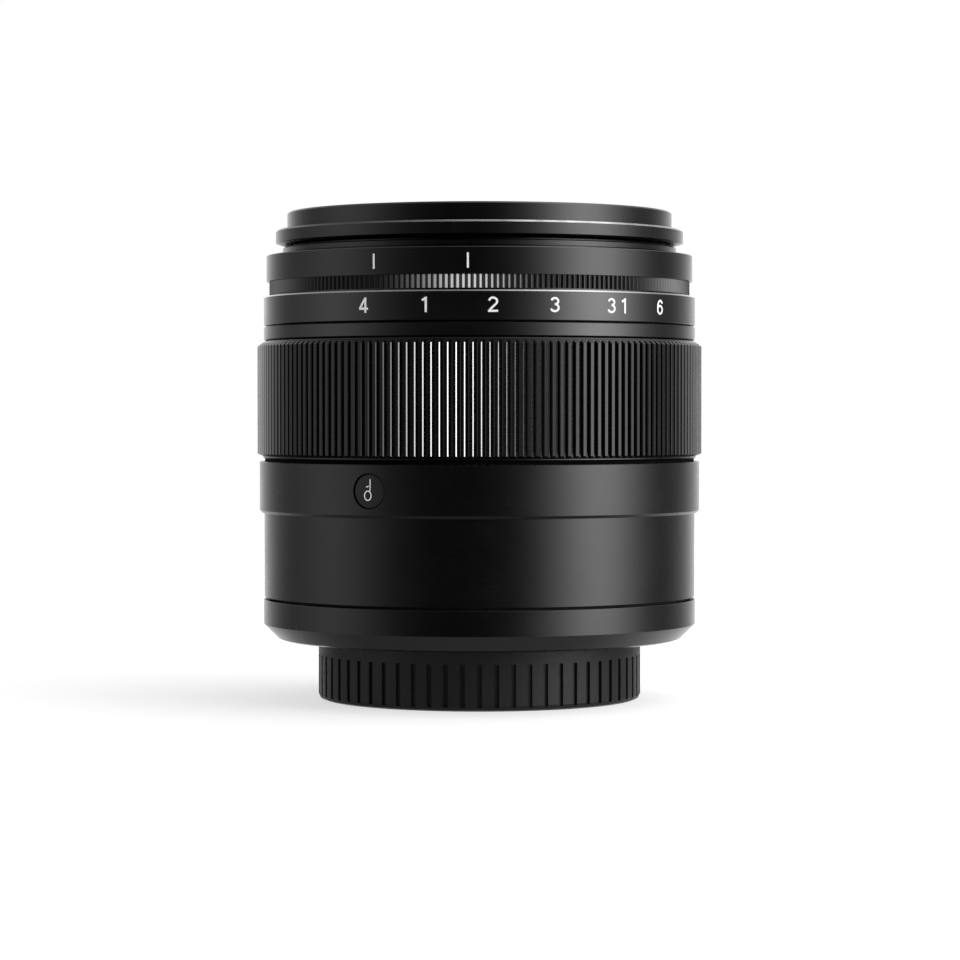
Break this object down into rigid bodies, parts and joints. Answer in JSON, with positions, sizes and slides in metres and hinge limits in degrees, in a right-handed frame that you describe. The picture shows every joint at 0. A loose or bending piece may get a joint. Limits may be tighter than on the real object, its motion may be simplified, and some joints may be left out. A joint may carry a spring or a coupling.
{
  "type": "prime camera lens",
  "caption": "Compact prime lens with ribbed focus ring, clicked aperture ring, iris, push button, filter thread, bayonet mount and slotted rear cap.",
  "frame": {"origin": "on the optical axis, at the bottom face of the rear cap, on which the lens stands", "axes": "+Z along the optical axis towards the front glass; -Y is the side the button and index lines face, +X to its right"},
  "size_m": [0.072, 0.072, 0.0786],
  "materials": {
    "black_anodised": "fine satin black anodising",
    "grip_metal": "semi-gloss black anodising on machined ribs",
    "flat_black": "anti-reflection flat black",
    "mount_steel": "polished plated mount",
    "steel": "plain machined steel",
    "blade_steel": "blackened spring steel",
    "brass": "turned brass",
    "gold": "gold plated contacts",
    "black_plastic": "moulded black plastic",
    "board": "green solder mask",
    "flex": "amber polyimide",
    "washer": "low friction plastic",
    "coated_glass": "multi-coated optical glass"
  },
  "bodies": {
    "lens_body": {"mount_flange": "mount_steel", "rear_cover": "black_anodised", "rear_barrel": "black_anodised", "button_ring": "black_anodised", "trim_band": "black_anodised", "index_ring": "black_anodised", "front_collar": "black_anodised", "mount_screws": "steel", "mount_shim": "brass", "rear_chassis": "flat_black", "rear_baffle": "flat_black", "contact_block": "black_plastic", "contact_pins": "gold", "button_switch": "black_plastic", "flex_cable": "flex", "circuit_board": "board", "guide_barrel": "flat_black", "barrel_screws": "steel", "focus_washer": "washer", "click_ball": "steel", "click_spring": "steel"},
    "focus_assembly": {"focus_ring": "black_anodised", "focus_grip": "grip_metal", "cam_sleeve": "brass", "cam_screws": "steel"},
    "aperture_assembly": {"aperture_ring": "black_anodised", "aperture_lever": "steel"},
    "optical_block": {"inner_barrel": "flat_black", "filter_ring": "black_anodised", "name_ring": "flat_black", "front_cell": "flat_black", "cell_screws": "steel", "rear_cell": "flat_black", "iris_base": "flat_black", "iris_retainer": "steel", "follower_pins": "brass", "front_retainer": "flat_black", "front_spacer": "flat_black", "rear_spacer_1": "flat_black", "rear_spacer_2": "flat_black", "rear_retainer": "flat_black", "glass_1": "coated_glass", "glass_2": "coated_glass", "glass_3": "coated_glass", "glass_4": "coated_glass", "glass_5": "coated_glass", "glass_6": "coated_glass", "glass_7": "coated_glass"},
    "iris_ring": {"iris_ring": "steel"},
    "iris_blade_1": {"iris_blade_1": "blade_steel"},
    "iris_blade_2": {"iris_blade_2": "blade_steel"},
    "iris_blade_3": {"iris_blade_3": "blade_steel"},
    "iris_blade_4": {"iris_blade_4": "blade_steel"},
    "iris_blade_5": {"iris_blade_5": "blade_steel"},
    "iris_blade_6": {"iris_blade_6": "blade_steel"},
    "iris_blade_7": {"iris_blade_7": "blade_steel"},
    "iris_blade_8": {"iris_blade_8": "blade_steel"},
    "iris_blade_9": {"iris_blade_9": "blade_steel"},
    "function_button": {"function_button": "black_plastic"},
    "rear_cap": {"rear_cap": "black_plastic"}
  },
  "joints": [
    {"name": "focus_turn", "type": "hinge", "parent": "lens_body", "child": "focus_assembly", "pos_m": [0, 0, 0.048], "axis": [0, 0, -1], "range_deg": [0, 105]},
    {"name": "front_extend", "type": "slide", "parent": "lens_body", "child": "optical_block", "axis": [0, 0, 1], "range_m": [0, 0.00525]},
    {"name": "aperture_turn", "type": "hinge", "parent": "lens_body", "child": "aperture_assembly", "pos_m": [0, 0, 0.063], "axis": [0, 0, 1], "range_deg": [-57, 28]},
    {"name": "iris_turn", "type": "hinge", "parent": "optical_block", "child": "iris_ring", "pos_m": [0, 0, 0.055], "axis": [0, 0, 1], "range_deg": [-57, 28]},
    {"name": "blade_1_swing", "type": "hinge", "parent": "optical_block", "child": "iris_blade_1", "pos_m": [0, -0.0255, 0.0526], "axis": [0, 0, 1], "range_deg": [-10.26, 20.84]},
    {"name": "blade_2_swing", "type": "hinge", "parent": "optical_block", "child": "iris_blade_2", "pos_m": [0.01639, -0.01953, 0.0526], "axis": [0, 0, 1], "range_deg": [-10.26, 20.84]},
    {"name": "blade_3_swing", "type": "hinge", "parent": "optical_block", "child": "iris_blade_3", "pos_m": [0.02511, -0.00443, 0.0526], "axis": [0, 0, 1], "range_deg": [-10.26, 20.84]},
    {"name": "blade_4_swing", "type": "hinge", "parent": "optical_block", "child": "iris_blade_4", "pos_m": [0.02208, 0.01275, 0.0526], "axis": [0, 0, 1], "range_deg": [-10.26, 20.84]},
    {"name": "blade_5_swing", "type": "hinge", "parent": "optical_block", "child": "iris_blade_5", "pos_m": [0.00872, 0.02396, 0.0526], "axis": [0, 0, 1], "range_deg": [-10.26, 20.84]},
    {"name": "blade_6_swing", "type": "hinge", "parent": "optical_block", "child": "iris_blade_6", "pos_m": [-0.00872, 0.02396, 0.0526], "axis": [0, 0, 1], "range_deg": [-10.26, 20.84]},
    {"name": "blade_7_swing", "type": "hinge", "parent": "optical_block", "child": "iris_blade_7", "pos_m": [-0.02208, 0.01275, 0.0526], "axis": [0, 0, 1], "range_deg": [-10.26, 20.84]},
    {"name": "blade_8_swing", "type": "hinge", "parent": "optical_block", "child": "iris_blade_8", "pos_m": [-0.02511, -0.00443, 0.0526], "axis": [0, 0, 1], "range_deg": [-10.26, 20.84]},
    {"name": "blade_9_swing", "type": "hinge", "parent": "optical_block", "child": "iris_blade_9", "pos_m": [-0.01639, -0.01953, 0.0526], "axis": [0, 0, 1], "range_deg": [-10.26, 20.84]},
    {"name": "button_press", "type": "slide", "parent": "lens_body", "child": "function_button", "axis": [0.4756, 0.8797, 0], "range_m": [0, 0.0006], "stiffness_N_per_m": 900, "springref_m": -0.0002},
    {"name": "cap_pull", "type": "slide", "parent": "lens_body", "child": "rear_cap", "axis": [0, 0, -1], "range_m": [0, 0.016]}
  ],
  "couplings": [
    {"joint": "front_extend", "follows": "focus_turn", "m_per_rad": 0.0028647},
    {"joint": "iris_turn", "follows": "aperture_turn", "ratio": 1},
    {"joint": "blade_1_swing", "follows": "aperture_turn", "ratio": -0.36471},
    {"joint": "blade_2_swing", "follows": "aperture_turn", "ratio": -0.36471},
    {"joint": "blade_3_swing", "follows": "aperture_turn", "ratio": -0.36471},
    {"joint": "blade_4_swing", "follows": "aperture_turn", "ratio": -0.36471},
    {"joint": "blade_5_swing", "follows": "aperture_turn", "ratio": -0.36471},
    {"joint": "blade_6_swing", "follows": "aperture_turn", "ratio": -0.36471},
    {"joint": "blade_7_swing", "follows": "aperture_turn", "ratio": -0.36471},
    {"joint": "blade_8_swing", "follows": "aperture_turn", "ratio": -0.36471},
    {"joint": "blade_9_swing", "follows": "aperture_turn", "ratio": -0.36471}
  ]
}
